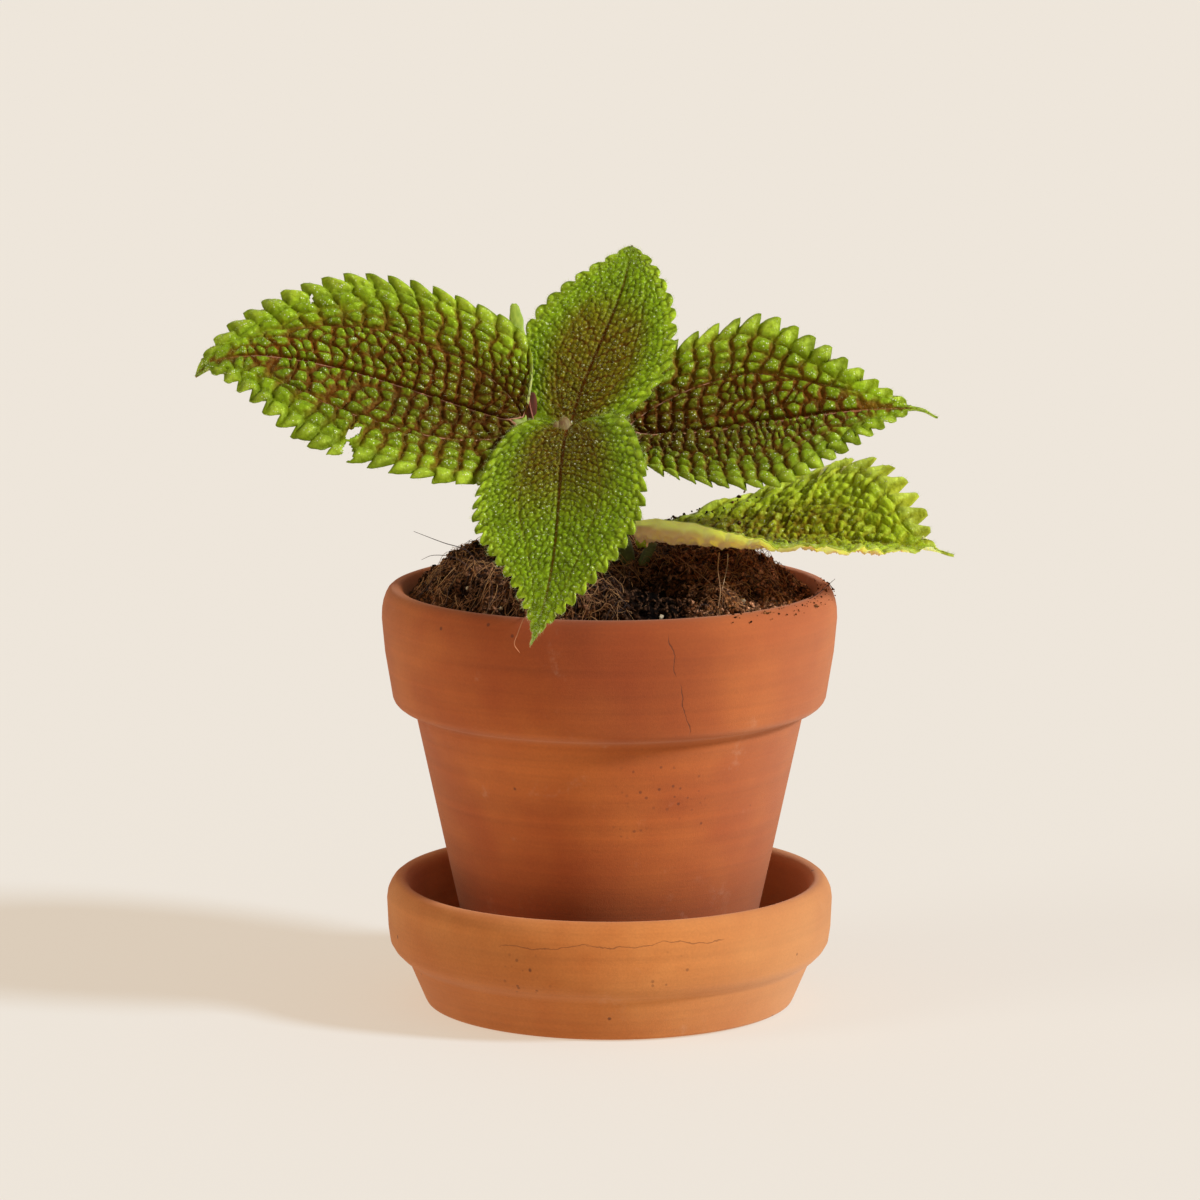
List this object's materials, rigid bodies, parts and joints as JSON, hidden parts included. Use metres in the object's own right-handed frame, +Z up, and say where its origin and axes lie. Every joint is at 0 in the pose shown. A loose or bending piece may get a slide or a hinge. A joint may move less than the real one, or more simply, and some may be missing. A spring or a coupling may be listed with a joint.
{
  "type": "potted friendship plant",
  "caption": "Friendship plant with quilted, toothed, hairy leaves in a banded clay flowerpot that stands in a deep matching saucer.",
  "frame": {"origin": "centre of the saucer's flat underside, on the pot's turning axis", "axes": "+Z up along the pot's turning axis, -Y towards the front, where the young leaf hangs over the rim, +X to the right"},
  "size_m": [0.1778, 0.1135, 0.1793],
  "materials": {
    "saucer_clay": "matt unglazed terracotta, pale orange",
    "pot_clay": "matt unglazed terracotta, darker and redder low down",
    "potting_mix": "dark brown peat and coir with pale fibres",
    "stem": "reddish brown to olive, hairy",
    "leaf": "deep to yellow green, shiny on each swelling, purple-brown in the valleys, hairy"
  },
  "bodies": {
    "root": {"saucer": "saucer_clay", "pot": "pot_clay", "soil": "potting_mix", "stem": "stem", "leaf_left": "leaf", "leaf_right": "leaf", "leaf_back": "leaf", "leaf_front": "leaf", "leaf_lower": "leaf"}
  },
  "joints": []
}
